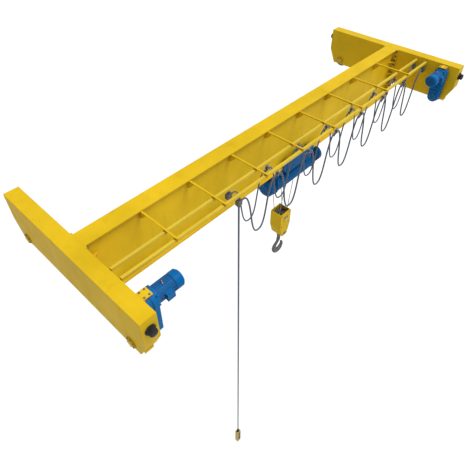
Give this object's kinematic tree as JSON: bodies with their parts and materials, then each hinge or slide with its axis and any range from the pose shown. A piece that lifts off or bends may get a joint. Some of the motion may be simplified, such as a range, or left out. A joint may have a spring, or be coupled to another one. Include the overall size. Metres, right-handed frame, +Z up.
{
  "type": "single girder overhead bridge crane",
  "caption": "Top-running bridge crane with a box girder on end carriages, an underslung rope hoist with hook block, looped supply cables and a hanging push-button pendant.",
  "frame": {"origin": "mid span, on the level of the runway rail heads that the wheels stand on", "axes": "+X along the girder, +Y along the runway towards the side without cable loops, +Z up"},
  "size_m": [7.762, 2.97, 8.3081],
  "materials": {
    "crane_yellow": "satin paint",
    "drive_blue": "satin paint",
    "hoist_blue": "satin paint",
    "dark_steel": "oiled dark steel",
    "bright_steel": "machined",
    "rail_yellow": "satin paint",
    "galvanised": "zinc coated",
    "rubber_black": "moulded",
    "cable_jacket": "smooth jacket",
    "rope_steel": "stranded wire",
    "pendant_yellow": "moulded plastic",
    "box_grey": "moulded plastic",
    "button_red": "moulded plastic"
  },
  "bodies": {
    "bridge": {"carriage_boxes": "crane_yellow", "travel_wheels": "dark_steel", "wheel_bearings": "crane_yellow", "buffers": "rubber_black", "travel_gearboxes": "drive_blue", "travel_motors": "drive_blue", "torque_brackets": "crane_yellow", "girder_top_flange": "crane_yellow", "girder_lower_flange": "crane_yellow", "girder_webs": "crane_yellow", "girder_end_plates": "crane_yellow", "trolley_stops": "crane_yellow", "cable_rail_arms": "crane_yellow", "cable_rails": "rail_yellow", "cable_carriers": "galvanised", "outer_looped_cable": "cable_jacket", "inner_looped_cable": "cable_jacket", "cable_end_boxes": "box_grey", "cable_end_carriers": "box_grey", "pendant_cable": "cable_jacket", "pendant_boot": "rubber_black", "pendant_station": "pendant_yellow", "pendant_buttons": "box_grey", "pendant_stop_button": "button_red"},
    "trolley": {"trolley_side_plates": "hoist_blue", "trolley_wheels": "dark_steel", "trolley_crossbars": "bright_steel", "trolley_drive_gearbox": "hoist_blue", "trolley_drive_motor": "hoist_blue", "hoist_hanger_plates": "hoist_blue", "drum_end_plates": "hoist_blue", "rope_drum": "bright_steel", "drum_covers": "hoist_blue", "hoist_gearbox": "hoist_blue", "hoist_motor": "hoist_blue", "rope_anchors": "dark_steel"},
    "hook_block": {"rope_falls": "rope_steel", "block_cheeks": "crane_yellow", "block_guard": "crane_yellow", "block_sheaves": "dark_steel", "sheave_ropes": "rope_steel", "block_axle": "bright_steel", "hook_crosshead": "dark_steel"},
    "hook": {"hook": "dark_steel"}
  },
  "joints": [
    {"name": "trolley_travel", "type": "slide", "parent": "bridge", "child": "trolley", "axis": [1, 0, 0], "range_m": [-3, 2]},
    {"name": "hoist_lift", "type": "slide", "parent": "trolley", "child": "hook_block", "axis": [0, 0, 1], "range_m": [-3, 0.4], "deforming": ["rope_falls"]},
    {"name": "hook_swivel", "type": "hinge", "parent": "hook_block", "child": "hook", "pos_m": [0.3, 0, -2.1], "axis": [0, 0, 1], "continuous": true}
  ]
}
